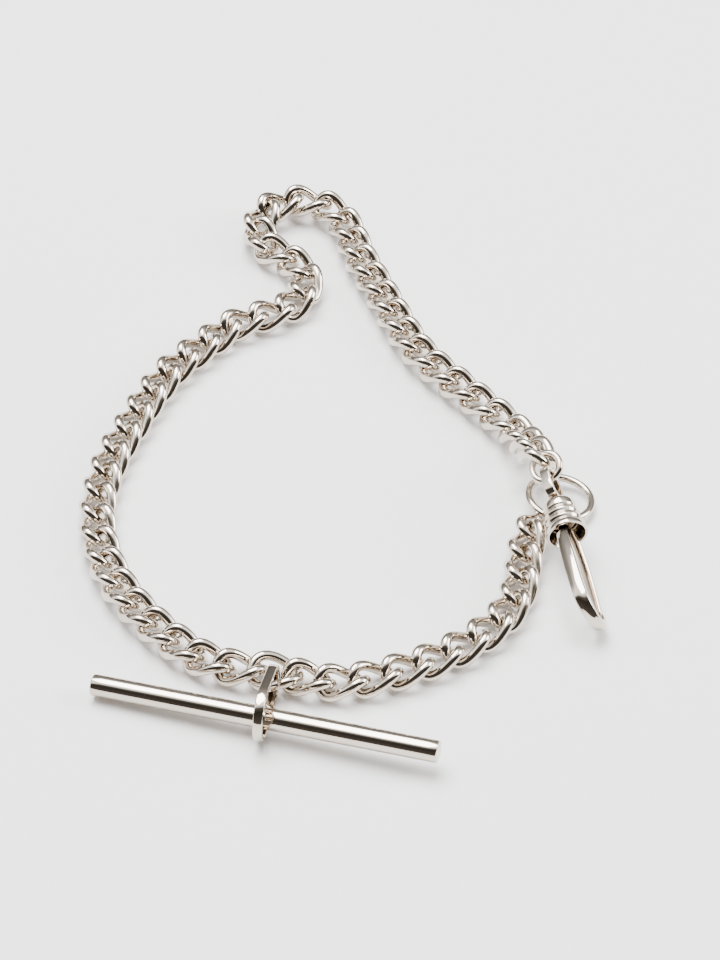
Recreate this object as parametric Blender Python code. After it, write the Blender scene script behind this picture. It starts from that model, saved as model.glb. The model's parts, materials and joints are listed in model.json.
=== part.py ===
"""A waistcoat chain for a pocket watch, laid out on a table.

Curb links run from a swivel clasp to a wide middle link, which holds the T-bar by a flat strap. A
short drop of the same links ends in a plain ring. The constants are millimetres and degrees, and
meshes are made in metres, +Z up. A link's origin is the pivot it shares with the link nearer the
middle one, and its X axis runs along the chain towards the arm's free end.
"""
from math import acos, cos, pi, radians, sin

import bmesh
import bpy
from mathutils import Matrix, Vector

MM = 0.001

# Curb link: round wire bent to an oval, with its two ends twisted opposite ways.
PITCH = 3.65
HALF_LENGTH = 2.55
HALF_WIDTH = 1.6
TWIST_RISE = 0.9
WIRE = 1.2
LINK_POINTS = 14
CHAIN_HEIGHT = 1.55

# Middle link, a wider oval with less twist.
MIDDLE_HALF_LENGTH = 2.65
MIDDLE_HALF_WIDTH = 2.1
MIDDLE_TWIST_RISE = 0.6
MIDDLE_WIRE = 1.1
MIDDLE_PIVOT = 1.93
MIDDLE_PLACE = Vector((-9.1, -31.9, CHAIN_HEIGHT))
MIDDLE_HEADING = radians(-14)

# Routes of the pivots along the two arms, outwards from the middle link: x, y and height.
MAIN_ROUTE = [
    (-14.1, -31.2, 1.6), (-17.1, -29.9, 1.55), (-20.8, -26.6, 1.55), (-24.2, -22.6, 1.55),
    (-27.0, -18.0, 1.55), (-28.8, -13.0, 1.55), (-29.5, -8.0, 1.55), (-29.4, -3.0, 1.55),
    (-28.4, 2.0, 1.55), (-26.8, 6.6, 1.55), (-24.7, 12.0, 1.55), (-22.2, 17.2, 1.55),
    (-17.9, 22.3, 1.55), (-15.5, 25.1, 1.55), (-12.2, 26.7, 1.55), (-8.9, 28.2, 1.55),
    (-6.7, 31.0, 1.6), (-6.5, 34.6, 1.6), (-8.5, 37.6, 1.6), (-11.4, 39.7, 1.65),
    (-12.7, 42.95, 1.9), (-11.9, 46.3, 2.1), (-9.1, 48.5, 2.1), (-5.5, 48.5, 2.0),
    (-2.7, 46.3, 1.7), (-1.3, 42.85, 1.6), (-0.5, 39.5, 1.55), (0.7, 36.0, 1.55),
    (2.1, 32.5, 1.55), (3.4, 29.0, 1.55), (4.6, 25.6, 1.55), (6.0, 22.3, 1.55),
    (7.6, 19.3, 1.55), (12.2, 13.6, 1.55), (16.4, 8.4, 1.6), (18.1, 5.5, 2.1),
    (19.0, 2.9, 3.2), (19.6, 0.2, 4.5), (20.4, -3.3, 6.05),
]
DROP_ROUTE = [
    (-3.6, -33.4, 1.55), (0.4, -33.0, 1.55), (4.6, -31.6, 1.55), (8.4, -29.8, 1.55),
    (12.0, -27.4, 1.55), (15.2, -24.2, 1.55), (17.1, -20.6, 1.55), (17.9, -16.8, 1.55),
    (18.3, -13.0, 1.55), (19.2, -9.7, 1.6), (21.3, -6.5, 1.6),
]
STEPS_BETWEEN = 10

# Links of the drop that lie over on their sides, counted from the middle link: their roll.
DROP_ROLLS = {10: -5, 11: -12, 12: -20}

# Links of the main arm that make one node with those after them: the first's number, and how many.
JOINED_MAIN = {11: 2, 13: 2, 34: 2, 37: 3, 40: 2}

# T-bar, and the strap bent round it and through the middle link.
BAR_LENGTH = 38.4
BAR_RADIUS = 1.2
BAR_BEVEL = 0.12
BAR_HEADING = radians(-16.8)
BAR_TILT = radians(-2.2)
BAR_IN_STRAP = Vector((0.0, 0.3, -1.05))
STRAP_PLACE = Vector((-10.25, -39.2, 3.05))
STRAP_HEADING = radians(-10)
STRAP_WIDTH = 1.05
STRAP_THICKNESS = 0.55
STRAP_FRONT_RADIUS = 2.75
STRAP_BACK_RADIUS = 2.1
STRAP_REACH = 4.75
STRAP_DROP = 0.85
STRAP_STEPS = 9

# Ring at the end of the drop.
RING_LEAN = radians(26)
RING_DIP = radians(6)
RING_REACH = 3.1
RING_RADIUS = 3.6
RING_WIRE = 0.9
RING_POINTS = 28

# Jump ring between the main arm and the clasp's eye.
JUMP_IN_EYE = Vector((-4.64, -0.17, -0.02))
JUMP_TURN = radians(14)
JUMP_RADIUS = 1.65
JUMP_WIRE = 0.85
JUMP_POINTS = 16

# Swivel clasp: +X runs from its eye to its nose, +Y to its gate, and its origin is on the
# collar's axis at the collar's top.
CLASP_PLACE = Vector((21.85, -8.3, 4.95))
CLASP_AXIS = Vector((0.19, -0.97, -0.09))
CLASP_SIDE = Vector((0.47, 0.17, -0.87))
COLLAR_PROFILE = [
    (0.85, 1.25), (1.1, 1.7), (1.35, 1.85), (1.9, 1.85), (2.35, 1.7), (2.9, 2.0), (3.4, 1.82),
    (3.93, 2.12), (4.4, 1.94), (4.9, 2.28), (5.5, 2.32), (5.5, 2.02), (4.7, 1.6), (1.65, 1.5),
    (1.65, 0.62), (0.85, 0.62),
]
COLLAR_STEPS = 18
STEM_RADIUS = 0.5
STEM_HEAD_RADIUS = 1.1
STEM_HEAD_AT = 1.85
STEM_HEAD_LENGTH = 0.4
EYE_HALF_WIDTH = 1.55
EYE_FROM = 0.1
EYE_TO = -4.1
EYE_STRIP_WIDTH = 1.1
EYE_STRIP_THICKNESS = 0.5
PLUG_FROM = 2.6
PLUG_TO = 3.8
PLUG_RADIUS = 1.35
SPINE_ROUTE = [
    (2.9, -0.55), (4.6, -0.85), (5.7, -1.3), (7.4, -2.0), (10.2, -2.3), (13.6, -2.35),
    (15.6, -2.1), (16.9, -1.3), (17.7, 0.0), (17.7, 1.3), (17.0, 2.4), (15.9, 2.9), (15.1, 2.85),
]
SPINE_WIDTH = 1.5
SPINE_THICKNESS = 0.8
GATE_HINGE = Vector((4.6, 0.98, 0.0))
GATE_ROUTE = [(4.3, 0.92), (5.6, 1.35), (7.6, 1.8), (11.0, 2.05), (15.7, 2.1)]
GATE_WIDTH = 1.5
GATE_THICKNESS = 0.45

NICKEL = (0.80, 0.78, 0.75)


def empty_scene():
    for thing in list(bpy.data.objects):
        bpy.data.objects.remove(thing, do_unlink=True)


def polished(name, colour, roughness):
    material = bpy.data.materials.new(name)
    material.use_nodes = True
    shader = material.node_tree.nodes["Principled BSDF"]
    shader.inputs["Base Color"].default_value = (*colour, 1.0)
    shader.inputs["Metallic"].default_value = 1.0
    shader.inputs["Roughness"].default_value = roughness
    return material


def add_object(name, data, parent, matrix, material=None):
    thing = bpy.data.objects.new(name, data)
    bpy.context.scene.collection.objects.link(thing)
    thing.parent = parent
    place = matrix.copy()
    place.translation = matrix.translation * MM
    thing.matrix_basis = place
    if material:
        data.materials.clear()
        data.materials.append(material)
    return thing


def frame_matrix(place, along, side):
    """A matrix at the place with X along the first direction and Y near the second."""
    x = along.normalized()
    z = x.cross(side).normalized()
    y = z.cross(x)
    matrix = Matrix((x, y, z)).transposed().to_4x4()
    matrix.translation = place
    return matrix


# ---- shapes ---------------------------------------------------------------------------------


def wire_loop(name, points, wire):
    """A mesh of round wire closed through the points."""
    curve = bpy.data.curves.new(name, "CURVE")
    curve.dimensions = "3D"
    curve.bevel_depth = wire / 2 * MM
    curve.bevel_resolution = 1
    spline = curve.splines.new("POLY")
    spline.points.add(len(points) - 1)
    for point, place in zip(spline.points, points):
        point.co = (*(Vector(place) * MM), 1.0)
    spline.use_cyclic_u = True
    holder = bpy.data.objects.new(name, curve)
    bpy.context.scene.collection.objects.link(holder)
    graph = bpy.context.evaluated_depsgraph_get()
    mesh = bpy.data.meshes.new_from_object(holder.evaluated_get(graph))
    bpy.data.objects.remove(holder, do_unlink=True)
    mesh.shade_smooth()
    return mesh


def twisted_oval(half_length, half_width, rise, centre_x):
    """Points round an oval in XY whose ends are twisted opposite ways about X."""
    points = []
    for k in range(LINK_POINTS):
        turn = (k + 0.5) * 2 * pi / LINK_POINTS
        across = half_width * sin(turn)
        points.append((centre_x + half_length * cos(turn), across, -rise * sin(2 * turn)))
    return points


def circle(radius, count):
    return [(radius * cos(2 * pi * k / count), radius * sin(2 * pi * k / count), 0.0) for k in range(count)]


def finish_mesh(bm, name, smooth_angle=35):
    bmesh.ops.recalc_face_normals(bm, faces=bm.faces)
    mesh = bpy.data.meshes.new(name)
    bm.to_mesh(mesh)
    bm.free()
    mesh.shade_smooth()
    mesh.set_sharp_from_angle(angle=radians(smooth_angle))
    return mesh


def strip(name, path, width, closed):
    """A flat strip on edge: its path lies in XY and its width runs along Z, centred on Z = 0."""
    bm = bmesh.new()
    verts = [bm.verts.new((x * MM, y * MM, -width / 2 * MM)) for x, y in path]
    edges = [bm.edges.new(pair) for pair in zip(verts, verts[1:])]
    if closed:
        edges.append(bm.edges.new((verts[-1], verts[0])))
    made = bmesh.ops.extrude_edge_only(bm, edges=edges)["geom"]
    raised = [item for item in made if isinstance(item, bmesh.types.BMVert)]
    bmesh.ops.translate(bm, verts=raised, vec=(0, 0, width * MM))
    return finish_mesh(bm, name)


def thicken(thing, thickness):
    solid = thing.modifiers.new("thickness", "SOLIDIFY")
    solid.thickness = thickness * MM
    solid.offset = 0
    solid.use_even_offset = True


def turned(name, profile, steps):
    """A closed profile of (x, radius) pairs, turned about X."""
    bm = bmesh.new()
    verts = [bm.verts.new((x * MM, radius * MM, 0)) for x, radius in profile]
    edges = [bm.edges.new(pair) for pair in zip(verts, verts[1:] + verts[:1])]
    bmesh.ops.spin(
        bm, geom=verts + edges, axis=(1, 0, 0), cent=(0, 0, 0), angle=2 * pi, steps=steps, use_merge=True
    )
    bmesh.ops.remove_doubles(bm, verts=bm.verts, dist=1e-7)
    return finish_mesh(bm, name, smooth_angle=50)


def rod(name, start, end, radius, sides=16):
    """A solid cylinder along X."""
    bm = bmesh.new()
    turn = Matrix.Translation(((start + end) / 2 * MM, 0, 0)) @ Matrix.Rotation(pi / 2, 4, "Y")
    bmesh.ops.create_cone(
        bm, cap_ends=True, segments=sides, radius1=radius * MM, radius2=radius * MM,
        depth=(end - start) * MM, matrix=turn
    )
    return finish_mesh(bm, name)


def join_into(thing, helper):
    """Unites a helper object with the thing, and keeps the helper out of the build."""
    helper.hide_render = True
    helper.display_type = "WIRE"
    union = thing.modifiers.new("union", "BOOLEAN")
    union.operation = "UNION"
    union.object = helper


# ---- the chain ------------------------------------------------------------------------------


def smooth_path(points):
    """A Catmull-Rom curve through the points, with STEPS_BETWEEN steps from each to the next."""
    ends = [2 * points[0] - points[1]] + points + [2 * points[-1] - points[-2]]
    path = []
    for before, here, there, after in zip(ends, ends[1:], ends[2:], ends[3:]):
        for k in range(STEPS_BETWEEN):
            t = k / STEPS_BETWEEN
            path.append(
                (2 * here + (there - before) * t + (2 * before - 5 * here + 4 * there - after) * t**2
                 + (3 * here - before - 3 * there + after) * t**3) / 2
            )
    return path + [points[-1]]


def pivots_along(path):
    """Places on the path, each a link's pitch from the one before."""
    found = [path[0]]
    for start, end in zip(path, path[1:]):
        while (end - found[-1]).length >= PITCH:
            low, high = 0.0, 1.0
            for _ in range(40):
                middle = (low + high) / 2
                if (start.lerp(end, middle) - found[-1]).length < PITCH:
                    low = middle
                else:
                    high = middle
            found.append(start.lerp(end, low))
    return found


def arm(name, route, side, rolls, joined, link, bead, root, material):
    """The links of one arm, each turned about its length by its roll. Returns the last one's place."""
    heading = Vector((cos(MIDDLE_HEADING), sin(MIDDLE_HEADING), 0)) * side
    start = MIDDLE_PLACE + heading * MIDDLE_PIVOT
    pivots = pivots_along(smooth_path([start] + [Vector(place) for place in route]))
    left = 0
    for number, (inner, outer) in enumerate(zip(pivots, pivots[1:]), 1):
        along = outer - inner
        place = frame_matrix(inner, along, Vector((0, 0, 1)).cross(along))
        place = place @ Matrix.Rotation(radians(rolls.get(number, 0)), 4, "X")
        if left:
            join_into(solid, add_object(f"{name}_{number:02d}_helper", link, root, place))
            join_into(solid, add_object(f"{name}_{number:02d}_bead", bead, root, place))
            left -= 1
            continue
        left = joined.get(number, 1) - 1
        label = f"{name}_{number:02d}_{number + left:02d}" if left else f"{name}_{number:02d}"
        solid = add_object(label, link.copy() if left else link, root, place, material)
    return place


def bead_mesh():
    """A small ball that fills the gap between two links where a joined pair meets."""
    bm = bmesh.new()
    bmesh.ops.create_icosphere(bm, subdivisions=1, radius=0.42 * MM)
    return finish_mesh(bm, "bead")


# ---- the fittings ---------------------------------------------------------------------------


def belt(front_radius, back_radius, reach, steps):
    """The outline of a belt round two circles: the first at the origin, the second at +X."""
    meet = acos((front_radius - back_radius) / reach)
    points = []
    for k in range(steps + 1):
        turn = -meet + 2 * meet * k / steps
        points.append((reach + back_radius * cos(turn), back_radius * sin(turn)))
    for k in range(steps + 1):
        turn = meet + (2 * pi - 2 * meet) * k / steps
        points.append((front_radius * cos(turn), front_radius * sin(turn)))
    return points


def t_bar_and_strap(root, material):
    bar_way = Vector((cos(BAR_HEADING), sin(BAR_HEADING), 0))
    back = Vector((-bar_way.y, bar_way.x, 0))
    lean = Vector((-sin(STRAP_HEADING) * STRAP_REACH, cos(STRAP_HEADING) * STRAP_REACH, -STRAP_DROP))
    place = frame_matrix(STRAP_PLACE, lean, Vector((0, 0, 1)))
    outline = belt(STRAP_FRONT_RADIUS, STRAP_BACK_RADIUS, STRAP_REACH, STRAP_STEPS)
    strap = add_object("t_bar_strap", strip("strap", outline, STRAP_WIDTH, True), root, place, material)
    thicken(strap, STRAP_THICKNESS)
    centre = STRAP_PLACE + back * BAR_IN_STRAP.y + Vector((0, 0, BAR_IN_STRAP.z))
    tilted = (bar_way * cos(BAR_TILT) - Vector((0, 0, 1)) * sin(BAR_TILT)).normalized()
    place = frame_matrix(centre, tilted, back)
    bar = add_object("t_bar", rod("bar", -BAR_LENGTH / 2, BAR_LENGTH / 2, BAR_RADIUS), root, place, material)
    edge = bar.modifiers.new("edge", "BEVEL")
    edge.width = BAR_BEVEL * MM
    edge.segments = 1
    edge.limit_method = "ANGLE"


def eye_outline():
    """The stirrup: straight legs from the stem's foot, closed by a half round."""
    points = [(EYE_FROM, 0.0), (EYE_FROM, EYE_HALF_WIDTH - 0.5), (EYE_FROM - 0.5, EYE_HALF_WIDTH)]
    turn_at = EYE_TO + EYE_HALF_WIDTH
    for k in range(9):
        turn = pi / 2 + pi * k / 8
        points.append((turn_at + EYE_HALF_WIDTH * cos(turn), EYE_HALF_WIDTH * sin(turn)))
    return points + [(EYE_FROM - 0.5, -EYE_HALF_WIDTH), (EYE_FROM, 0.5 - EYE_HALF_WIDTH)]


def swivel_clasp(root, material):
    frame = add_object("clasp_frame", None, root, frame_matrix(CLASP_PLACE, CLASP_AXIS, CLASP_SIDE))
    home = Matrix.Identity(4)
    add_object("clasp_collar", turned("collar", COLLAR_PROFILE, COLLAR_STEPS), frame, home, material)
    eye = add_object("clasp_eye", strip("eye", eye_outline(), EYE_STRIP_WIDTH, True), frame, home, material)
    thicken(eye, EYE_STRIP_THICKNESS)
    stem = rod("stem", EYE_FROM - 0.05, STEM_HEAD_AT + 0.1, STEM_RADIUS, 12)
    join_into(eye, add_object("stem_helper", stem, frame, home))
    head = rod("stem_head", STEM_HEAD_AT, STEM_HEAD_AT + STEM_HEAD_LENGTH, STEM_HEAD_RADIUS, 12)
    join_into(eye, add_object("stem_head_helper", head, frame, home))
    hook = add_object("clasp_hook", strip("hook", SPINE_ROUTE, SPINE_WIDTH, False), frame, home, material)
    thicken(hook, SPINE_THICKNESS)
    plug = rod("plug", PLUG_FROM, PLUG_TO, PLUG_RADIUS, 14)
    join_into(hook, add_object("plug_helper", plug, frame, home))
    place = Matrix.Translation(GATE_HINGE)
    path = [(x - GATE_HINGE.x, y - GATE_HINGE.y) for x, y in GATE_ROUTE]
    gate = add_object("clasp_gate", strip("gate", path, GATE_WIDTH, False), frame, place, material)
    thicken(gate, GATE_THICKNESS)


def rings(root, last_link, material):
    leaning = last_link @ Matrix.Rotation(RING_LEAN, 4, "X") @ Matrix.Translation((RING_REACH, 0, 0))
    tilt = leaning @ Matrix.Rotation(RING_DIP, 4, "Y") @ Matrix.Translation((RING_RADIUS, 0, 0))
    ring = wire_loop("ring", circle(RING_RADIUS, RING_POINTS), RING_WIRE)
    add_object("drop_ring", ring, root, tilt, material)
    clasp = frame_matrix(CLASP_PLACE, CLASP_AXIS, CLASP_SIDE)
    stand = clasp @ Matrix.Translation(JUMP_IN_EYE) @ Matrix.Rotation(JUMP_TURN, 4, "Z")
    stand = stand @ Matrix.Rotation(pi / 2, 4, "X")
    jump = wire_loop("jump", circle(JUMP_RADIUS, JUMP_POINTS), JUMP_WIRE)
    add_object("jump_ring", jump, root, stand, material)


def centre_on_origin(root):
    """Moves everything so that the box round it stands on the origin."""
    bpy.context.view_layer.update()
    graph = bpy.context.evaluated_depsgraph_get()
    corners = []
    for thing in bpy.context.scene.objects:
        if thing.type == "MESH" and not thing.hide_render:
            solid = thing.evaluated_get(graph)
            corners += [solid.matrix_world @ vertex.co for vertex in solid.data.vertices]
    low = Vector([min(corner[axis] for corner in corners) for axis in range(3)])
    high = Vector([max(corner[axis] for corner in corners) for axis in range(3)])
    root.location = (-(low.x + high.x) / 2, -(low.y + high.y) / 2, -low.z)
    bpy.context.view_layer.update()


def main():
    empty_scene()
    wire_metal = polished("polished_wire", NICKEL, 0.12)
    fitting_metal = polished("polished_fittings", NICKEL, 0.1)
    root = add_object("chain_frame", None, None, Matrix.Identity(4))
    middle = wire_loop(
        "middle", twisted_oval(MIDDLE_HALF_LENGTH, MIDDLE_HALF_WIDTH, MIDDLE_TWIST_RISE, 0), MIDDLE_WIRE
    )
    place = Matrix.Rotation(MIDDLE_HEADING, 4, "Z")
    place.translation = MIDDLE_PLACE
    add_object("middle_link", middle, root, place, wire_metal)
    link = wire_loop("curb", twisted_oval(HALF_LENGTH, HALF_WIDTH, TWIST_RISE, PITCH / 2), WIRE)
    bead = bead_mesh()
    arm("main", MAIN_ROUTE, -1, {}, JOINED_MAIN, link, bead, root, wire_metal)
    last_link = arm("drop", DROP_ROUTE, 1, DROP_ROLLS, {}, link, bead, root, wire_metal)
    t_bar_and_strap(root, fitting_metal)
    swivel_clasp(root, fitting_metal)
    rings(root, last_link, wire_metal)
    centre_on_origin(root)


main()
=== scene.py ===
"""A waistcoat chain for a pocket watch: curb links, a T-bar in a strap, a ring and a swivel clasp.

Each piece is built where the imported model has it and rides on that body. Lengths in the constants
are millimetres, and meshes are made in metres.
"""
import json
from math import acos, cos, pi, radians, sin

import bmesh
import bpy
import numpy as np
from mathutils import Matrix, Vector

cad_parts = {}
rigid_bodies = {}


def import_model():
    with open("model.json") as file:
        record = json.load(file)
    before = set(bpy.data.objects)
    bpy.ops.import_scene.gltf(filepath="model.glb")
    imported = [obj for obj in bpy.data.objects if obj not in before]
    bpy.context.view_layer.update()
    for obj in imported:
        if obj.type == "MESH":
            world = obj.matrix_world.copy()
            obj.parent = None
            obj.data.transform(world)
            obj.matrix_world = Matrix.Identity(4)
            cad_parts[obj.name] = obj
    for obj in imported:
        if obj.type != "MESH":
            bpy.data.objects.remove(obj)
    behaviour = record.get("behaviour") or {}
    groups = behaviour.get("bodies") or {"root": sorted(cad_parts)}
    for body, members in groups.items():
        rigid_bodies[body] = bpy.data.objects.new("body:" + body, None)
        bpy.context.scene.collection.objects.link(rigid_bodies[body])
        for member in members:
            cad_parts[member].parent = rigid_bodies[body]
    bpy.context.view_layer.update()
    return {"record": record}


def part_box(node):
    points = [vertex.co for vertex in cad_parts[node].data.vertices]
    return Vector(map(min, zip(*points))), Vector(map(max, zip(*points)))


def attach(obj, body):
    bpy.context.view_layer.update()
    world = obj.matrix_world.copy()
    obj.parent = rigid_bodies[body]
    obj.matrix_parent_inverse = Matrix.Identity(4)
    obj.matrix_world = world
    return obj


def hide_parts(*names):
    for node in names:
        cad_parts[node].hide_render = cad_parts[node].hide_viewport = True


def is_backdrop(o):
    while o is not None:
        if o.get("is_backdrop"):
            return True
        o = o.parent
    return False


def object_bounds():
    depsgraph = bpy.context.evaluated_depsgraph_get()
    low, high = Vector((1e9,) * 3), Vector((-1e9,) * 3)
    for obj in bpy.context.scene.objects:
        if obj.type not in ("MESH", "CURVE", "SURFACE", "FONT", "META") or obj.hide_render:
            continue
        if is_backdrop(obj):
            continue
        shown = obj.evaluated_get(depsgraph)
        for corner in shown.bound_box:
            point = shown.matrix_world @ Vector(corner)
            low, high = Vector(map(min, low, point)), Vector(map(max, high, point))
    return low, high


bl_info = {
    "name": "Pocket Watch Chain",
    "version": (1, 0, 0),
    "blender": (4, 5, 0),
    "location": "3D View > Sidebar > Watch Chain",
    "description": "Builds a curb-link watch chain with its T-bar, ring and swivel clasp",
    "category": "Add Mesh",
}

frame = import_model()
BODIES = frame["record"]["behaviour"]["bodies"]

MM = 0.001
CHAIN_HEIGHT = 1.55
MIDDLE_PLACE = Vector((-9.1, -31.9, CHAIN_HEIGHT))
MIDDLE_HEADING = radians(-14)
MIDDLE_PIVOT = 1.93
MIDDLE_HALF_LENGTH = 2.65
MIDDLE_HALF_WIDTH = 2.1
MIDDLE_TWIST = 0.6
MIDDLE_WIRE = 1.12

# Routes of the links' pivots, outwards from the middle link: x, y and height.
MAIN_ROUTE = [
    (-14.1, -31.2, 1.6), (-17.1, -29.9, 1.55), (-20.8, -26.6, 1.55), (-24.2, -22.6, 1.55),
    (-27.0, -18.0, 1.55), (-28.8, -13.0, 1.55), (-29.5, -8.0, 1.55), (-29.4, -3.0, 1.55),
    (-28.4, 2.0, 1.55), (-26.8, 6.6, 1.55), (-24.7, 12.0, 1.55), (-22.2, 17.2, 1.55),
    (-17.9, 22.3, 1.55), (-15.5, 25.1, 1.55), (-12.2, 26.7, 1.55), (-8.9, 28.2, 1.55),
    (-6.7, 31.0, 1.6), (-6.5, 34.6, 1.6), (-8.5, 37.6, 1.6), (-11.4, 39.7, 1.65),
    (-12.7, 42.95, 1.9), (-11.9, 46.3, 2.1), (-9.1, 48.5, 2.1), (-5.5, 48.5, 2.0),
    (-2.7, 46.3, 1.7), (-1.3, 42.85, 1.6), (-0.5, 39.5, 1.55), (0.7, 36.0, 1.55),
    (2.1, 32.5, 1.55), (3.4, 29.0, 1.55), (4.6, 25.6, 1.55), (6.0, 22.3, 1.55),
    (7.6, 19.3, 1.55), (12.2, 13.6, 1.55), (16.4, 8.4, 1.6), (18.1, 5.5, 2.1),
    (19.0, 2.9, 3.2), (19.6, 0.2, 4.5), (20.4, -3.3, 6.05),
]
DROP_ROUTE = [
    (-3.6, -33.4, 1.55), (0.4, -33.0, 1.55), (4.6, -31.6, 1.55), (8.4, -29.8, 1.55),
    (12.0, -27.4, 1.55), (15.2, -24.2, 1.55), (17.1, -20.6, 1.55), (17.9, -16.8, 1.55),
    (18.3, -13.0, 1.55), (19.2, -9.7, 1.6), (21.3, -6.5, 1.6),
]
DROP_ROLLS = {10: -5, 11: -12, 12: -20}
STEPS_BETWEEN = 10

# The T-bar's end edge: how far back from its face and in from its side.
BAR_END = [(0.16, 0.0), (0.1, 0.02), (0.04, 0.07), (0.0, 0.16)]
BAR_BANDS = 40
ON_AXIS = 0.0001
STRAP_PLACE = Vector((-10.25, -39.2, 3.05))
STRAP_HEADING = radians(-10)
STRAP_REACH = 4.75
STRAP_DROP = 0.85
BAR_HEADING = radians(-16.8)
BAR_TILT = radians(-2.2)
BAR_BACK = 0.3
BAR_DROP = 1.05
STRAP_FRONT_RADIUS = 2.75
STRAP_BACK_RADIUS = 2.1

RING_LEAN = radians(26)
RING_DIP = radians(6)
RING_REACH = 3.1
RING_STEPS = 96

JUMP_IN_EYE = Vector((-4.64, -0.17, -0.02))
JUMP_TURN = radians(14)
JUMP_STEPS = 64

CLASP_PLACE = Vector((21.85, -8.3, 4.95))
CLASP_AXIS = Vector((0.19, -0.97, -0.09))
CLASP_SIDE = Vector((0.47, 0.17, -0.87))
COLLAR_OUTSIDE = [
    (0.85, 0.62), (0.85, 1.2), (1.08, 1.66), (1.35, 1.84), (1.9, 1.85), (2.15, 1.8), (2.35, 1.7),
    (2.6, 1.84), (2.9, 2.0), (3.15, 1.93), (3.4, 1.82), (3.66, 1.98), (3.93, 2.12), (4.17, 2.04),
    (4.4, 1.94), (4.62, 2.12), (4.9, 2.28), (5.2, 2.33), (5.45, 2.32), (5.5, 2.2), (5.5, 2.05),
]
COLLAR_INSIDE = [(5.3, 1.95), (4.7, 1.6), (1.75, 1.5), (1.65, 1.42), (1.65, 0.62)]
COLLAR_GROOVES = [(2.35, 1.7), (3.4, 1.82), (4.4, 1.94)]
# How far from each groove's bottom the painted groove shade and grime reach.
GROOVE_SHADE_AND_GRIME = 0.3
EYE_FROM = 0.1
EYE_TO = -4.1
EYE_HALF_WIDTH = 1.55
EYE_STRIP_WIDTH = 1.1
EYE_STRIP_THICKNESS = 0.5
EYE_STEM = [
    (0.0, ON_AXIS), (0.0, 0.62), (0.5, 0.52), (0.85, 0.5), (1.85, 0.5), (1.85, 1.1), (2.25, 1.1),
    (2.25, ON_AXIS),
]
HOOK_PLUG = [(2.6, ON_AXIS), (2.6, 1.25), (2.7, 1.35), (3.7, 1.35), (3.8, 1.25), (3.8, ON_AXIS)]
SPINE_ROUTE = [
    (2.9, -0.55), (4.6, -0.85), (5.7, -1.3), (7.4, -2.0), (10.2, -2.3), (13.6, -2.35),
    (15.6, -2.1), (16.9, -1.3), (17.7, 0.0), (17.7, 1.3), (17.0, 2.4), (15.9, 2.9), (15.1, 2.85),
]
SPINE_WIDTHS = [1.3, 1.4, 1.5, 1.4, 1.55, 1.55, 1.55, 1.5, 1.4, 1.35, 1.2, 0.95, 0.7]
GATE_ROUTE = [(4.3, 0.92), (5.6, 1.35), (7.6, 1.8), (11.0, 2.05), (15.7, 2.1)]
GATE_WIDTHS = [1.3, 1.5, 1.5, 1.45, 1.1]
GATE_THICKNESS = 0.45

# The stage, in metres, and the softboxes' places, sizes and watts.
TABLE_REACH = 1.5
CAMERA_RISE = radians(43)
CAMERA_DISTANCE = 0.39
CAMERA_LENS = 85.4
SKY_STRENGTH = 2.5
SOFTBOXES = {
    "top_softbox": ((-0.15, 0.25, 0.9), 0.7, 24.0),
    "side_softbox": ((0.8, 0.1, 0.45), 0.4, 7.0),
}


class LinkSizes(bpy.types.PropertyGroup):
    """Sizes of the wire links."""

    pitch: bpy.props.FloatProperty(
        name="Pitch", description="Distance from one link to the next", default=3.65 * MM, unit="LENGTH"
    )
    half_length: bpy.props.FloatProperty(
        name="Half length", description="Half a link's length along its wire", default=2.55 * MM,
        unit="LENGTH"
    )
    half_width: bpy.props.FloatProperty(
        name="Half width", description="Half a link's width along its wire", default=1.6 * MM,
        unit="LENGTH"
    )
    twist: bpy.props.FloatProperty(
        name="Twist", description="How far a link's corners stand off its plane", default=0.9 * MM,
        unit="LENGTH"
    )
    wire: bpy.props.FloatProperty(
        name="Wire", description="The wire's diameter", default=1.18 * MM, unit="LENGTH"
    )


class FittingSizes(bpy.types.PropertyGroup):
    """Sizes of the T-bar, the rings and the clasp."""

    bar_length: bpy.props.FloatProperty(
        name="Bar length", description="The T-bar's length", default=38.4 * MM, unit="LENGTH"
    )
    bar_radius: bpy.props.FloatProperty(
        name="Bar radius", description="The T-bar's radius", default=1.2 * MM, unit="LENGTH"
    )
    strap_width: bpy.props.FloatProperty(
        name="Strap width", description="Width of the strap round the T-bar", default=1.05 * MM,
        unit="LENGTH"
    )
    strap_thickness: bpy.props.FloatProperty(
        name="Strap thickness", description="Thickness of the strap", default=0.55 * MM, unit="LENGTH"
    )
    ring_radius: bpy.props.FloatProperty(
        name="Ring radius", description="The end ring's radius along its wire", default=3.6 * MM,
        unit="LENGTH"
    )
    ring_wire: bpy.props.FloatProperty(
        name="Ring wire", description="The end ring's wire diameter", default=0.9 * MM, unit="LENGTH"
    )
    jump_radius: bpy.props.FloatProperty(
        name="Jump ring radius", description="The jump ring's radius along its wire",
        default=1.65 * MM, unit="LENGTH"
    )
    jump_wire: bpy.props.FloatProperty(
        name="Jump ring wire", description="The jump ring's wire diameter", default=0.85 * MM,
        unit="LENGTH"
    )
    hook_thickness: bpy.props.FloatProperty(
        name="Hook thickness", description="Thickness of the hook's plate", default=0.8 * MM,
        unit="LENGTH"
    )


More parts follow.
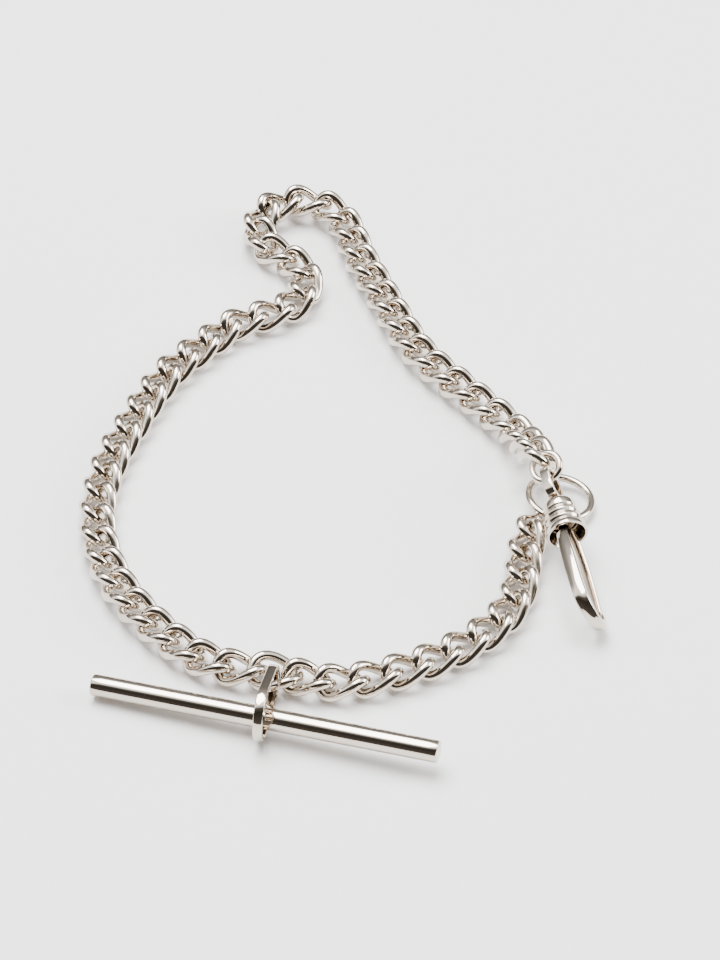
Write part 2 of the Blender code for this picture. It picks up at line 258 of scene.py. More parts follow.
class ChainColours(bpy.types.PropertyGroup):
    """Colours of the plating and of the table."""

    nickel: bpy.props.FloatVectorProperty(
        name="Nickel", description="The polished plating", subtype="COLOR", default=(0.62, 0.555, 0.48)
    )
    warm: bpy.props.FloatVectorProperty(
        name="Warm nickel", description="The plating where it has yellowed", subtype="COLOR",
        default=(0.52, 0.44, 0.355)
    )
    # The darkening colour: grime, and painted shade where the links meet and in the collar's grooves.
    tarnish_and_shade: bpy.props.FloatVectorProperty(
        name="Tarnish", description="Grime where links rub", subtype="COLOR",
        default=(0.12, 0.1, 0.08)
    )
    table: bpy.props.FloatVectorProperty(
        name="Table", description="The table's paper", subtype="COLOR", default=(0.93, 0.92, 0.92)
    )


# ---- materials ------------------------------------------------------------------------------


class Value:
    """A shader socket that builds Math nodes when it is used in an expression."""

    def __init__(self, finish, socket):
        self.finish = finish
        self.socket = socket

    def _math(self, operation, other=0.0, swapped=False):
        inputs = {0: other, 1: self} if swapped else {0: self, 1: other}
        return self.finish.add("ShaderNodeMath", {"operation": operation}, inputs)

    def __add__(self, other):
        return self._math("ADD", other)

    __radd__ = __add__

    def __sub__(self, other):
        return self._math("SUBTRACT", other)

    def __rsub__(self, other):
        return self._math("SUBTRACT", other, swapped=True)

    def __mul__(self, other):
        return self._math("MULTIPLY", other)

    __rmul__ = __mul__

    def size(self):
        return self._math("ABSOLUTE")

    def between(self, low, high):
        """0 below the first bound, 1 above the second, and smooth from one to the other."""
        return self.finish.add(
            "ShaderNodeMapRange", {"interpolation_type": "SMOOTHSTEP"},
            {"Value": self, "From Min": low, "From Max": high}
        )


class Finish:
    """A material under construction."""

    def __init__(self, name):
        self.material = bpy.data.materials.new(name)
        self.material.use_nodes = True
        self.tree = self.material.node_tree
        self.shader = self.tree.nodes["Principled BSDF"]

    def add(self, kind, settings=None, inputs=None, output=0):
        node = self.tree.nodes.new(kind)
        for name, setting in (settings or {}).items():
            if name == "stops":
                fill_ramp(node.color_ramp, setting)
            else:
                setattr(node, name, setting)
        for name, given in (inputs or {}).items():
            self.feed(node.inputs[name], given)
        return Value(self, node.outputs[output])

    def feed(self, socket, given):
        if isinstance(given, Value):
            self.tree.links.new(given.socket, socket)
        else:
            socket.default_value = given

    def set(self, **inputs):
        for name, given in inputs.items():
            self.feed(self.shader.inputs[name.replace("_", " ")], given)

    def place(self, scale=(1, 1, 1), rotation=(0, 0, 0)):
        here = self.add("ShaderNodeTexCoord", output=3)
        return self.add("ShaderNodeMapping", {}, {"Vector": here, "Scale": scale, "Rotation": rotation})

    def noise(self, scale, detail=3.0, roughness=0.55, vector=None):
        return self.add(
            "ShaderNodeTexNoise", {},
            {"Vector": vector or self.place(), "Scale": scale, "Detail": detail, "Roughness": roughness}
        )

    def attribute(self, name):
        return self.add("ShaderNodeAttribute", {"attribute_name": name}, output=2)

    def mix(self, factor, first, second):
        node = self.tree.nodes.new("ShaderNodeMix")
        node.data_type = "RGBA"
        self.feed(node.inputs[0], factor)
        self.feed(node.inputs[6], first)
        self.feed(node.inputs[7], second)
        return Value(self, node.outputs[2])

    def bump(self, height, strength, distance, normal=None):
        inputs = {"Height": height, "Strength": strength, "Distance": distance}
        if normal:
            inputs["Normal"] = normal
        return self.add("ShaderNodeBump", {}, inputs)


def fill_ramp(ramp, stops):
    while len(ramp.elements) < len(stops):
        ramp.elements.new(1.0)
    for element, (place, colour) in zip(ramp.elements, stops):
        element.position = place
        element.color = colour


def opaque(colour):
    return (*colour, 1.0)


def scratches(finish, way, scale):
    """Fine crossing lines, thin where the noise is near its middle value."""
    lines = finish.noise(scale, 2.0, 0.5, finish.place(way, (0.3, 0.5, 0.9)))
    return 1 - (lines - 0.5).size().between(0.0, 0.012)


def plated_wire():
    """Bright plating on drawn wire: faint handling marks, and grime with painted shade darkening it where
    the links bear.
    """
    colours = bpy.context.scene.chain_colours
    finish = Finish("polished_wire_nickel")
    cloud = finish.noise(260.0, 3.0)
    shade_and_grime_spots = finish.noise(2600.0, 4.0, 0.65)
    bearing = finish.attribute("bearing")
    # Painted shade with grime: the marked contact places are darkened towards the tarnish colour and made
    # rougher.
    shade_and_dirt = (bearing * shade_and_grime_spots.between(0.3, 0.75)) * 0.85
    tone = finish.mix(cloud.between(0.42, 0.72) * 0.6, opaque(colours.nickel), opaque(colours.warm))
    colour = finish.mix(shade_and_dirt, tone, opaque(colours.tarnish_and_shade))
    hair = scratches(finish, (1.0, 7.0, 2.0), 900.0)
    haze = finish.noise(900.0, 2.0).between(0.35, 0.8)
    finish.set(
        Base_Color=colour, Metallic=1.0,
        Roughness=0.055 + haze * 0.07 + shade_and_dirt * 0.35 + hair * 0.05
    )
    pits = finish.noise(5200.0, 2.0)
    waves = finish.noise(700.0, 1.0)
    soft = finish.bump(waves, 0.12, 0.00006)
    finish.set(Normal=finish.bump(pits + hair * 0.4, 0.05, 0.00001, soft))
    return finish.material


def plated_fitting():
    """Bright plating on turned and stamped pieces: fine lines along the polish, and grime with painted
    shade in the collar's grooves.
    """
    colours = bpy.context.scene.chain_colours
    finish = Finish("polished_fitting_nickel")
    cloud = finish.noise(180.0, 3.0)
    along = finish.attribute("polish")
    lines = finish.add(
        "ShaderNodeTexNoise", {"noise_dimensions": "1D"},
        {"W": along, "Scale": 9000.0, "Detail": 2.0}
    )
    shade_and_grime_spots = finish.noise(2200.0, 4.0, 0.65)
    # Painted shade with grime: the marked grooves are darkened towards the tarnish colour and made
    # rougher.
    shade_and_dirt = finish.attribute("bearing") * shade_and_grime_spots.between(0.25, 0.7) * 0.8
    tone = finish.mix(cloud.between(0.4, 0.75) * 0.5, opaque(colours.nickel), opaque(colours.warm))
    hair = scratches(finish, (3.0, 1.0, 5.0), 700.0)
    finish.set(
        Base_Color=finish.mix(shade_and_dirt, tone, opaque(colours.tarnish_and_shade)), Metallic=1.0,
        Roughness=0.05 + lines.between(0.3, 0.8) * 0.05 + shade_and_dirt * 0.4 + hair * 0.05
    )
    soft = finish.bump(finish.noise(420.0, 1.0), 0.08, 0.00005)
    finish.set(Normal=finish.bump(lines + hair * 0.5, 0.04, 0.00001, soft))
    return finish.material


def table_paper():
    """Smooth pale card, with a faint tooth."""
    colours = bpy.context.scene.chain_colours
    finish = Finish("table_card")
    mottle = finish.noise(6.0, 2.0)
    shade = tuple(channel * 0.985 for channel in colours.table)
    finish.set(
        Base_Color=finish.mix(mottle.between(0.3, 0.7), opaque(colours.table), opaque(shade)),
        Roughness=0.55 + finish.noise(40.0, 2.0) * 0.1,
        Normal=finish.bump(finish.noise(2500.0, 3.0), 0.02, 0.0001)
    )
    return finish.material


# ---- places ---------------------------------------------------------------------------------


def frame_matrix(place, along, side):
    """A matrix at the place with X along the first direction and Y near the second."""
    x = along.normalized()
    z = x.cross(side).normalized()
    y = z.cross(x)
    matrix = Matrix((x, y, z)).transposed().to_4x4()
    matrix.translation = place
    return matrix


def in_metres(matrix):
    """A place in millimetres on the drawing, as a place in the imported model."""
    low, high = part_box("middle_link")
    made = matrix.copy()
    made.translation = (matrix.translation - MIDDLE_PLACE) * MM + (low + high) / 2
    return made


def smooth_path(points):
    """A Catmull-Rom curve through the points, with STEPS_BETWEEN steps from each to the next."""
    ends = [2 * points[0] - points[1]] + points + [2 * points[-1] - points[-2]]
    path = []
    for before, here, there, after in zip(ends, ends[1:], ends[2:], ends[3:]):
        for k in range(STEPS_BETWEEN):
            t = k / STEPS_BETWEEN
            path.append(
                (2 * here + (there - before) * t + (2 * before - 5 * here + 4 * there - after) * t**2
                 + (3 * here - before - 3 * there + after) * t**3) / 2
            )
    return path + [points[-1]]


def pivots_along(path, pitch):
    """Places on the path, each a link's pitch from the one before."""
    found = [path[0]]
    for start, end in zip(path, path[1:]):
        while (end - found[-1]).length >= pitch:
            low, high = 0.0, 1.0
            for _ in range(40):
                middle = (low + high) / 2
                if (start.lerp(end, middle) - found[-1]).length < pitch:
                    low = middle
                else:
                    high = middle
            found.append(start.lerp(end, low))
    return found


def link_places(route, side, rolls):
    """The matrix of each link of an arm, in millimetres on the drawing."""
    pitch = bpy.context.scene.link_sizes.pitch / MM
    heading = Vector((cos(MIDDLE_HEADING), sin(MIDDLE_HEADING), 0)) * side
    start = MIDDLE_PLACE + heading * MIDDLE_PIVOT
    pivots = pivots_along(smooth_path([start] + [Vector(place) for place in route]), pitch)
    places = []
    for number, (inner, outer) in enumerate(zip(pivots, pivots[1:]), 1):
        along = outer - inner
        place = frame_matrix(inner, along, Vector((0, 0, 1)).cross(along))
        places.append(place @ Matrix.Rotation(radians(rolls.get(number, 0)), 4, "X"))
    return places


def clasp_matrix():
    return frame_matrix(CLASP_PLACE, CLASP_AXIS, CLASP_SIDE)


# ---- the tree that bends wire ---------------------------------------------------------------

TREES = {}


class Tree:
    """A geometry nodes tree under construction."""

    def __init__(self, name, sizes):
        self.group = bpy.data.node_groups.new(name, "GeometryNodeTree")
        self.ids = {}
        face = self.group.interface
        face.new_socket("Geometry", in_out="INPUT", socket_type="NodeSocketGeometry")
        for size, (kind, default) in sizes.items():
            socket = face.new_socket(size, in_out="INPUT", socket_type=kind)
            if default is not None:
                socket.default_value = default
            self.ids[size] = socket.identifier
        face.new_socket("Geometry", in_out="OUTPUT", socket_type="NodeSocketGeometry")
        self.given = self.group.nodes.new("NodeGroupInput")

    def add(self, kind, settings=None, inputs=None, output=0):
        node = self.group.nodes.new(kind)
        for name, setting in (settings or {}).items():
            setattr(node, name, setting)
        for name, given in (inputs or {}).items():
            if isinstance(given, bpy.types.NodeSocket):
                self.group.links.new(given, node.inputs[name])
            else:
                node.inputs[name].default_value = given
        return node.outputs[output]

    def math(self, operation, first, second=0.0, third=0.0):
        return self.add("ShaderNodeMath", {"operation": operation}, {0: first, 1: second, 2: third})

    def vector(self, operation, first, second=(0, 0, 0), output=0):
        return self.add("ShaderNodeVectorMath", {"operation": operation}, {0: first, 1: second}, output)

    def xyz(self, vector):
        node = self.group.nodes.new("ShaderNodeSeparateXYZ")
        self.group.links.new(vector, node.inputs[0])
        return node.outputs

    def size(self, name):
        return self.given.outputs[name]

    def finish(self, geometry):
        out = self.group.nodes.new("NodeGroupOutput")
        self.group.links.new(geometry, out.inputs[0])
        return self


def wire_tree():
    """Bends round wire to a twisted oval at each vertex of the object, turned by its attribute."""
    tree = Tree(
        "Bent wire link",
        {
            "Half length": ("NodeSocketFloat", 0.00255), "Half width": ("NodeSocketFloat", 0.0016),
            "Twist": ("NodeSocketFloat", 0.0009), "Wire": ("NodeSocketFloat", 0.0012),
            "Offset": ("NodeSocketFloat", 0.0), "Steps": ("NodeSocketInt", 48),
            "Sides": ("NodeSocketInt", 16), "Seed": ("NodeSocketInt", 3),
            "Material": ("NodeSocketMaterial", None),
        },
    )
    unit = tree.add(
        "GeometryNodeCurvePrimitiveCircle", {}, {"Resolution": tree.size("Steps"), "Radius": 1.0}
    )
    x, y, _ = tree.xyz(tree.add("GeometryNodeInputPosition"))
    along = tree.math("MULTIPLY", x, tree.size("Half length"))
    across = tree.math("MULTIPLY", y, tree.size("Half width"))
    corner = tree.math("MULTIPLY", x, y)
    rise = tree.math("MULTIPLY", corner, tree.math("MULTIPLY", tree.size("Twist"), -2.0))
    bent = tree.add("ShaderNodeCombineXYZ", {}, {"X": along, "Y": across, "Z": rise})
    oval = tree.add("GeometryNodeSetPosition", {}, {"Geometry": unit, "Position": bent})
    ends = tree.add("GeometryNodeStoreNamedAttribute", {"data_type": "FLOAT", "domain": "POINT"},
                    {"Geometry": oval, "Name": "end", "Value": tree.math("ABSOLUTE", x)})
    round_wire = tree.add(
        "GeometryNodeCurvePrimitiveCircle", {},
        {"Resolution": tree.size("Sides"), "Radius": tree.math("MULTIPLY", tree.size("Wire"), 0.5)}
    )
    wire = tree.add("GeometryNodeCurveToMesh", {}, {"Curve": ends, "Profile Curve": round_wire})
    # Painted shade and grime: the inner side of each end, where the next link rubs and shades it, is
    # marked to be darkened.
    position = tree.add("GeometryNodeInputPosition")
    normal = tree.add("GeometryNodeInputNormal")
    outwards = tree.vector("NORMALIZE", tree.vector("MULTIPLY", position, (1.0, 0.25, 0.0)))
    inward = tree.math("MULTIPLY", tree.vector("DOT_PRODUCT", outwards, normal, output=1), -1.0)
    near_end = tree.add("GeometryNodeInputNamedAttribute", {"data_type": "FLOAT"}, {"Name": "end"})
    shade_and_grime_mask = tree.math(
        "MULTIPLY",
        tree.add("ShaderNodeMapRange", {"interpolation_type": "SMOOTHSTEP"},
                 {"Value": inward, "From Min": 0.0, "From Max": 0.8}),
        tree.add("ShaderNodeMapRange", {"interpolation_type": "SMOOTHSTEP"},
                 {"Value": near_end, "From Min": 0.45, "From Max": 0.85})
    )
    with_shade_and_grime = tree.add("GeometryNodeStoreNamedAttribute", {"data_type": "FLOAT", "domain": "POINT"},
                    {"Geometry": wire, "Name": "bearing", "Value": shade_and_grime_mask})
    smooth = tree.add("GeometryNodeSetShadeSmooth", {}, {"Geometry": with_shade_and_grime})
    offset = tree.add("ShaderNodeCombineXYZ", {}, {"X": tree.size("Offset")})
    moved = tree.add("GeometryNodeTransform", {}, {"Geometry": smooth, "Translation": offset})
    turn = tree.add("GeometryNodeInputNamedAttribute", {"data_type": "QUATERNION"}, {"Name": "turn"})
    copies = tree.add("GeometryNodeInstanceOnPoints", {},
                      {"Points": tree.size("Geometry"), "Instance": moved, "Rotation": turn})
    real = tree.add("GeometryNodeRealizeInstances", {}, {"Geometry": copies})
    material = tree.size("Material")
    return tree.finish(tree.add("GeometryNodeSetMaterial", {}, {"Geometry": real, "Material": material}))


def bend_wire(name, places, sizes, body, nodes):
    """One piece of bent wire per place, in one mesh that rides on the body."""
    if "wire" not in TREES:
        TREES["wire"] = wire_tree()
    tree = TREES["wire"]
    points = bpy.data.meshes.new(f"{name}_places")
    matrices = [in_metres(place) for place in places]
    points.from_pydata([matrix.translation for matrix in matrices], [], [])
    turn = points.attributes.new("turn", "QUATERNION", "POINT")
    turn.data.foreach_set("value", [part for matrix in matrices for part in matrix.to_quaternion()])
    holder = bpy.data.objects.new(name, points)
    bpy.context.scene.collection.objects.link(holder)
    modifier = holder.modifiers.new("bent wire", "NODES")
    modifier.node_group = tree.group
    for size, given in sizes.items():
        modifier[tree.ids[size]] = given
    graph = bpy.context.evaluated_depsgraph_get()
    mesh = bpy.data.meshes.new_from_object(holder.evaluated_get(graph))
    bpy.data.objects.remove(holder, do_unlink=True)
    for spare in [key.name for key in mesh.attributes if key.name in ("turn", "end")]:
        mesh.attributes.remove(mesh.attributes[spare])
    return add_piece(name, mesh, body, nodes)


def add_piece(name, mesh, body, nodes):
    mesh.name = name
    piece = bpy.data.objects.new(name, mesh)
    bpy.context.scene.collection.objects.link(piece)
    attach(piece, body)
    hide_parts(*nodes)
    return piece


def material_named(name, make):
    return bpy.data.materials.get(name) or make()


def wire_material():
    return material_named("polished_wire_nickel", plated_wire)


def fitting_material():
    return material_named("polished_fitting_nickel", plated_fitting)


# ---- turned and bent plates -----------------------------------------------------------------


def finish_mesh(bm, name, material, place, sharp=40):
    bmesh.ops.remove_doubles(bm, verts=bm.verts, dist=1e-8)
    bmesh.ops.recalc_face_normals(bm, faces=bm.faces)
    bmesh.ops.transform(bm, matrix=place, verts=bm.verts)
    mesh = bpy.data.meshes.new(name)
    bm.to_mesh(mesh)
    bm.free()
    mesh.shade_smooth()
    mesh.set_sharp_from_angle(angle=radians(sharp))
    mesh.materials.append(material)
    return mesh


def mark(bm, name):
    return bm.verts.layers.float.get(name) or bm.verts.layers.float.new(name)


def turned(bm, profile, steps, shade_and_grime_spots=()):
    """Adds a closed profile of (x, radius) pairs in millimetres, turned about X.

    The polish attribute is the distance along X. Shade and grime spots are (x, radius, reach) places,
    where grime and painted shade darken the surface.
    """
    polish = mark(bm, "polish")
    bearing = mark(bm, "bearing")
    rows = []
    for k in range(steps):
        turn = 2 * pi * k / steps
        row = []
        for x, radius in profile:
            vert = bm.verts.new((x * MM, radius * cos(turn) * MM, radius * sin(turn) * MM))
            vert[polish] = x * MM + radius * MM
            for at, wide, reach in shade_and_grime_spots:
                away = ((x - at) ** 2 + (radius - wide) ** 2) ** 0.5
                vert[bearing] = max(vert[bearing], 1 - away / reach)
            row.append(vert)
        rows.append(row)
    for row, following in zip(rows, rows[1:] + rows[:1]):
        for k in range(len(profile)):
            here, there = k, (k + 1) % len(profile)
            bm.faces.new((row[here], row[there], following[there], following[here]))


def smooth_line(points, steps):
    """A Catmull-Rom line through points of any length, steps to each span."""
    rows = np.array(points, float)
    ends = np.vstack([2 * rows[0] - rows[1], rows, 2 * rows[-1] - rows[-2]])
    line = []
    for before, here, there, after in zip(ends, ends[1:], ends[2:], ends[3:]):
        for k in range(steps):
            t = k / steps
            line.append(
                (2 * here + (there - before) * t + (2 * before - 5 * here + 4 * there - after) * t**2
                 + (3 * here - before - 3 * there + after) * t**3) / 2
            )
    return line + [rows[-1]]


def plate_section(width, thickness, edge, crown):
    """Points round a plate's section: flat inside, a crowned outside and rounded edges."""
    half, deep = width / 2, thickness / 2
    right = []
    for k in range(5):
        turn = pi / 2 * k / 4
        right.append((half - edge + edge * sin(turn), deep - edge + edge * cos(turn)))
    top = [(-x, y) for x, y in reversed(right)][:-1] + [(-half + edge, deep)]
    across = [
        (-half + edge + (width - 2 * edge) * k / 6, deep + crown * sin(pi * k / 6)) for k in range(1, 6)
    ]
    bottom = [(x, -y) for x, y in reversed(right)]
    left = [(-x, -y) for x, y in right]
    return top + across + right + bottom + left


def bent_plate(bm, route, widths, thickness, edge, crown, closed, steps=6, taper=None):
    """Sweeps a plate's section along a route in XY, its width along Z, all in millimetres."""
    polish = mark(bm, "polish")
    bearing = mark(bm, "bearing")
    rows = [(*point, width) for point, width in zip(route, widths)]
    if closed:
        line = np.array(rows, float)
    else:
        line = np.array(smooth_line(rows, steps), float)
    count = len(line)
    sections = []
    for k, (x, y, width) in enumerate(line):
        before = line[k - 1] if k or closed else line[0]
        after = line[(k + 1) % count] if k + 1 < count or closed else line[-1]
        way = Vector(after[:2] - before[:2]).normalized()
        side = Vector((-way.y, way.x))
        deep = thickness * (taper(k / (count - 1)) if taper else 1)
        section = []
        for across, out in plate_section(width, deep, min(edge, deep * 0.45), crown):
            place = Vector((x, y)) - side * out
            vert = bm.verts.new((place.x * MM, place.y * MM, across * MM))
            vert[polish] = across * MM
            vert[bearing] = 0.0
            section.append(vert)
        sections.append(section)
    joins = list(zip(sections, sections[1:] + sections[:1] if closed else sections[1:]))
    for one, other in joins:
        for k in range(len(one)):
            after = (k + 1) % len(one)
            bm.faces.new((one[k], one[after], other[after], other[k]))
    if not closed:
        bm.faces.new(sections[0])
        bm.faces.new(list(reversed(sections[-1])))


def belt(front_radius, back_radius, reach, steps):
    """The outline of a belt round two circles: the first at the origin, the second at +X."""
    meet = acos((front_radius - back_radius) / reach)
    points = []
    for k in range(steps + 1):
        turn = -meet + 2 * meet * k / steps
        points.append((reach + back_radius * cos(turn), back_radius * sin(turn)))
    for k in range(steps + 1):
        turn = meet + (2 * pi - 2 * meet) * k / steps
        points.append((front_radius * cos(turn), front_radius * sin(turn)))
    return points


# ---- operators ------------------------------------------------------------------------------


def links_held(body, arm):
    """The first and last link number that a body of this arm holds, or None for another body."""
    parts = body.split("_")
    if parts[0] != arm or not all(part.isdigit() for part in parts[1:]):
        return None
    return int(parts[1]), int(parts[-1])


class CHAIN_OT_links(bpy.types.Operator):
    """Bends the links of both arms and the wide middle link"""

    bl_idname = "watch_chain.links"
    bl_label = "Curb links"

    def execute(self, context):
        sizes = context.scene.link_sizes
        given = {
            "Half length": sizes.half_length, "Half width": sizes.half_width, "Twist": sizes.twist,
            "Wire": sizes.wire, "Offset": sizes.pitch / 2, "Material": wire_material(),
        }
        arms = {"main": link_places(MAIN_ROUTE, -1, {}), "drop": link_places(DROP_ROUTE, 1, DROP_ROLLS)}
        for arm, places in arms.items():
            held = [(body, links_held(body, arm)) for body in BODIES if links_held(body, arm)]
            if sum(last - first + 1 for _, (first, last) in held) != len(places):
                raise RuntimeError(f"the {arm} arm has {len(places)} links, and its bodies hold others")
            for body, (first, last) in held:
                held_places = places[first - 1:last]
                bend_wire(f"{body}_links", held_places, given, body, BODIES[body])
        middle = Matrix.Rotation(MIDDLE_HEADING, 4, "Z")
        middle.translation = MIDDLE_PLACE
        given = {
            "Half length": MIDDLE_HALF_LENGTH * MM, "Half width": MIDDLE_HALF_WIDTH * MM,
            "Twist": MIDDLE_TWIST * MM, "Wire": MIDDLE_WIRE * MM, "Offset": 0.0,
            "Material": wire_material(),
        }
        bend_wire("wide_middle_link", [middle], given, "middle_link", ["middle_link"])
        return {"FINISHED"}


class CHAIN_OT_rings(bpy.types.Operator):
    """Bends the drop's end ring and the jump ring that holds the clasp"""

    bl_idname = "watch_chain.rings"
    bl_label = "Rings"

    def execute(self, context):
        sizes = context.scene.fitting_sizes
        last = link_places(DROP_ROUTE, 1, DROP_ROLLS)[-1]
        place = last @ Matrix.Rotation(RING_LEAN, 4, "X") @ Matrix.Translation((RING_REACH, 0, 0))
        place = place @ Matrix.Rotation(RING_DIP, 4, "Y")
        place = place @ Matrix.Translation((sizes.ring_radius / MM, 0, 0))
        given = {
            "Half length": sizes.ring_radius, "Half width": sizes.ring_radius, "Twist": 0.0,
            "Wire": sizes.ring_wire, "Offset": 0.0, "Steps": RING_STEPS, "Material": wire_material(),
        }
        bend_wire("end_ring", [place], given, "drop_ring", ["drop_ring"])
        place = clasp_matrix() @ Matrix.Translation(JUMP_IN_EYE) @ Matrix.Rotation(JUMP_TURN, 4, "Z")
        place = place @ Matrix.Rotation(pi / 2, 4, "X")
        given = {
            "Half length": sizes.jump_radius, "Half width": sizes.jump_radius, "Twist": 0.0,
            "Wire": sizes.jump_wire, "Offset": 0.0, "Steps": JUMP_STEPS, "Material": wire_material(),
        }
        bend_wire("clasp_jump_ring", [place], given, "jump_ring", ["jump_ring"])
        return {"FINISHED"}


class CHAIN_OT_t_bar(bpy.types.Operator):
    """Turns the T-bar and bends the strap that holds it to the middle link"""

    bl_idname = "watch_chain.t_bar"
    bl_label = "T-bar and strap"

    def execute(self, context):
        sizes = context.scene.fitting_sizes
        way = Vector((cos(BAR_HEADING), sin(BAR_HEADING), 0))
        across = Vector((-way.y, way.x, 0))
        centre = STRAP_PLACE + across * BAR_BACK - Vector((0, 0, BAR_DROP))
        tilted = (way * cos(BAR_TILT) - Vector((0, 0, 1)) * sin(BAR_TILT)).normalized()
        half, radius = sizes.bar_length / MM / 2, sizes.bar_radius / MM
        edge = [(half - back, radius - inwards) for back, inwards in BAR_END]
        inset = BAR_END[0][0]
        edge += [(half, radius * 0.55), (half, radius * 0.12)]
        other_edge = [(-x, r) for x, r in reversed(edge)]
        side = [(-half + inset + 2 * (half - inset) * k / BAR_BANDS, radius) for k in range(1, BAR_BANDS)]
        profile = other_edge + side + edge + [(half - 0.02, ON_AXIS), (-half + 0.02, ON_AXIS)]
        bm = bmesh.new()
        turned(bm, profile, 56)
        place = in_metres(frame_matrix(centre, tilted, across))
        mesh = finish_mesh(bm, "t_bar_rod", fitting_material(), place)
        add_piece("t_bar_rod", mesh, "t_bar", ["t_bar"])
        reach = Vector((-sin(STRAP_HEADING), cos(STRAP_HEADING), 0)) * STRAP_REACH
        reach.z = -STRAP_DROP
        outline = belt(STRAP_FRONT_RADIUS, STRAP_BACK_RADIUS, STRAP_REACH, 30)
        bm = bmesh.new()
        width, thickness = sizes.strap_width / MM, sizes.strap_thickness / MM
        bent_plate(bm, outline, [width] * len(outline), thickness, 0.14, 0.03, True)
        place = in_metres(frame_matrix(STRAP_PLACE, reach, Vector((0, 0, 1))))
        mesh = finish_mesh(bm, "t_bar_strap_loop", fitting_material(), place)
        add_piece("t_bar_strap_loop", mesh, "t_bar_strap", ["t_bar_strap"])
        return {"FINISHED"}


class CHAIN_OT_clasp(bpy.types.Operator):
    """Makes the swivel clasp: its eye, ribbed collar, hook and sprung gate"""

    bl_idname = "watch_chain.clasp"
    bl_label = "Swivel clasp"

    def execute(self, context):
        sizes = context.scene.fitting_sizes
        place = in_metres(clasp_matrix())
        bm = bmesh.new()
        outside = [tuple(point) for point in smooth_line(COLLAR_OUTSIDE[2:-2], 3)]
        profile = COLLAR_OUTSIDE[:2] + outside + COLLAR_OUTSIDE[-2:] + COLLAR_INSIDE
        # Grime and painted shade darken the collar's grooves.
        shade_and_grime_spots = [(x, radius, GROOVE_SHADE_AND_GRIME) for x, radius in COLLAR_GROOVES]
        turned(bm, profile, 64, shade_and_grime_spots)
        mesh = finish_mesh(bm, "ribbed_collar", fitting_material(), place)
        add_piece("ribbed_collar", mesh, "clasp_hook", ["clasp_collar"])
        self.make_eye(place)
        self.make_hook(place, sizes.hook_thickness / MM)
        return {"FINISHED"}

    def make_eye(self, place):
        half, start, end = EYE_HALF_WIDTH, EYE_FROM, EYE_TO
        points = [
            (start, 0.0), (start, half - 0.75), (start - 0.12, half - 0.4),
            (start - 0.4, half - 0.12), (start - 0.8, half),
        ]
        turn_at = end + half
        for k in range(25):
            turn = pi / 2 + pi * k / 24
            points.append((turn_at + half * cos(turn), half * sin(turn)))
        points += [(x, -y) for x, y in reversed(points[1:5])]
        bm = bmesh.new()
        widths = [EYE_STRIP_WIDTH] * len(points)
        bent_plate(bm, list(reversed(points)), widths, EYE_STRIP_THICKNESS, 0.12, 0.03, True)
        turned(bm, EYE_STEM, 32)
        mesh = finish_mesh(bm, "swivel_eye", fitting_material(), place)
        add_piece("swivel_eye", mesh, "clasp_eye", ["clasp_eye"])

    def make_hook(self, place, thickness):
        def thin_to_nose(t):
            return 1.0 if t < 0.8 else 1.0 - 0.45 * (t - 0.8) / 0.2

        bm = bmesh.new()
        bent_plate(bm, SPINE_ROUTE, SPINE_WIDTHS, thickness, 0.22, 0.12, False, 8, thin_to_nose)
        turned(bm, HOOK_PLUG, 32)
        mesh = finish_mesh(bm, "hook_plate", fitting_material(), place)
        add_piece("hook_plate", mesh, "clasp_hook", ["clasp_hook"])
        bm = bmesh.new()
        bent_plate(bm, GATE_ROUTE, GATE_WIDTHS, GATE_THICKNESS, 0.12, 0.05, False, 8)
        mesh = finish_mesh(bm, "sprung_gate", fitting_material(), place)
        add_piece("sprung_gate", mesh, "clasp_gate", ["clasp_gate"])


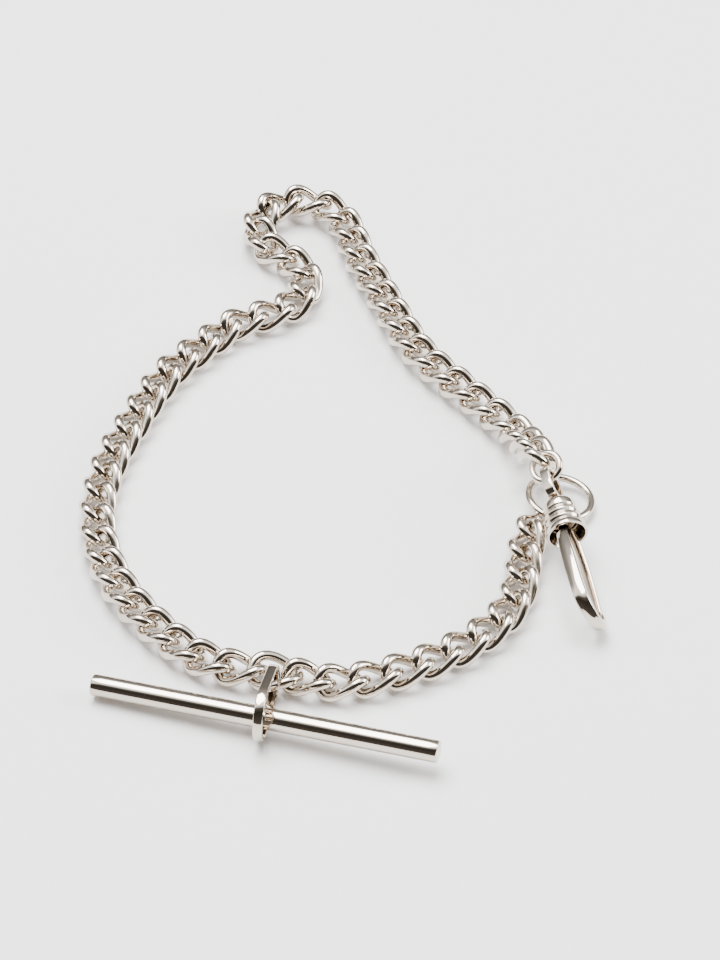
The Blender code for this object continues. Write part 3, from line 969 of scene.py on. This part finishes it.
class CHAIN_OT_stage(bpy.types.Operator):
    """Lays the pale table, the soft lights and the camera"""

    bl_idname = "watch_chain.stage"
    bl_label = "Table, light and camera"

    def execute(self, context):
        scene = context.scene
        bm = bmesh.new()
        bmesh.ops.create_grid(bm, x_segments=1, y_segments=1, size=TABLE_REACH)
        bmesh.ops.translate(bm, verts=bm.verts, vec=(0, 0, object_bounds()[0][2]))
        mesh = bpy.data.meshes.new("table")
        bm.to_mesh(mesh)
        bm.free()
        mesh.materials.append(table_paper())
        table = bpy.data.objects.new("table", mesh)
        scene.collection.objects.link(table)
        table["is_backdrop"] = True
        self.light(scene)
        self.camera(scene)
        return {"FINISHED"}

    def camera(self, scene):
        low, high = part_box("middle_link")
        target = (low + high) / 2 - MIDDLE_PLACE * MM
        rise = CAMERA_RISE
        forward = Vector((0, cos(rise), -sin(rise)))
        up = Vector((0, sin(rise), cos(rise)))
        data = bpy.data.cameras.new("camera")
        data.sensor_fit = "VERTICAL"
        data.sensor_height = 24
        data.lens = CAMERA_LENS
        data.clip_start = 0.01
        data.clip_end = 20
        camera = bpy.data.objects.new("camera", data)
        camera.matrix_world = Matrix((Vector((1, 0, 0)), up, -forward)).transposed().to_4x4()
        camera.location = target - forward * CAMERA_DISTANCE
        scene.collection.objects.link(camera)
        scene.camera = camera

    def light(self, scene):
        world = bpy.data.worlds.new("studio")
        scene.world = world
        world.use_nodes = True
        nodes, links = world.node_tree.nodes, world.node_tree.links
        place = nodes.new("ShaderNodeTexCoord")
        split = nodes.new("ShaderNodeSeparateXYZ")
        links.new(place.outputs["Generated"], split.inputs[0])
        ramp = nodes.new("ShaderNodeValToRGB")
        # The ramp runs from the horizon in front, over the top, to the horizon behind.
        fill_ramp(ramp.color_ramp, [
            (0.0, (0.05, 0.045, 0.04, 1)), (0.28, (0.02, 0.018, 0.016, 1)),
            (0.37, (0.07, 0.065, 0.06, 1)), (0.44, (1.0, 0.99, 0.97, 1)),
            (0.6, (1.0, 1.0, 1.0, 1)), (0.76, (0.25, 0.245, 0.24, 1)), (1.0, (0.05, 0.048, 0.045, 1)),
        ])

        def math(operation, first, second):
            node = nodes.new("ShaderNodeMath")
            node.operation = operation
            for socket, given in zip(node.inputs, (first, second)):
                if isinstance(given, float):
                    socket.default_value = given
                else:
                    links.new(given, socket)
            return node.outputs[0]

        frontwards = math("MULTIPLY", split.outputs["Y"], -1.0)
        turn = math("ARCTAN2", split.outputs["Z"], frontwards)
        links.new(math("MULTIPLY", turn, 1 / pi), ramp.inputs[0])
        links.new(ramp.outputs[0], nodes["Background"].inputs["Color"])
        nodes["Background"].inputs["Strength"].default_value = SKY_STRENGTH
        for name, (place, size, power) in SOFTBOXES.items():
            self.softbox(scene, name, place, size, power)

    def softbox(self, scene, name, place, size, power):
        data = bpy.data.lights.new(name, "AREA")
        data.shape = "SQUARE"
        data.size = size
        data.energy = power
        lamp = bpy.data.objects.new(name, data)
        lamp.location = place
        lamp.rotation_euler = (-Vector(place)).to_track_quat("-Z", "Y").to_euler()
        scene.collection.objects.link(lamp)


class CHAIN_PT_panel(bpy.types.Panel):
    """The chain's sizes, colours and makers"""

    bl_idname = "CHAIN_PT_panel"
    bl_label = "Watch Chain"
    bl_space_type = "VIEW_3D"
    bl_region_type = "UI"
    bl_category = "Watch Chain"

    def draw(self, context):
        for group in ("link_sizes", "fitting_sizes", "chain_colours"):
            settings = getattr(context.scene, group)
            box = self.layout.box()
            for name in settings.bl_rna.properties.keys():
                if name not in ("rna_type", "name"):
                    box.prop(settings, name)
        for operator in MAKERS:
            self.layout.operator(operator.bl_idname)


SETTINGS = {"link_sizes": LinkSizes, "fitting_sizes": FittingSizes, "chain_colours": ChainColours}
MAKERS = (CHAIN_OT_links, CHAIN_OT_rings, CHAIN_OT_t_bar, CHAIN_OT_clasp, CHAIN_OT_stage)


def register():
    for group in SETTINGS.values():
        bpy.utils.register_class(group)
    for kind in (*MAKERS, CHAIN_PT_panel):
        bpy.utils.register_class(kind)
    for name, group in SETTINGS.items():
        setattr(bpy.types.Scene, name, bpy.props.PointerProperty(type=group))


def unregister():
    for name in SETTINGS:
        delattr(bpy.types.Scene, name)
    for kind in (CHAIN_PT_panel, *reversed(MAKERS)):
        bpy.utils.unregister_class(kind)
    for group in reversed(SETTINGS.values()):
        bpy.utils.unregister_class(group)


def main():
    register()
    for maker in MAKERS:
        group, name = maker.bl_idname.split(".")
        getattr(getattr(bpy.ops, group), name)()


if __name__ == "__main__":
    main()
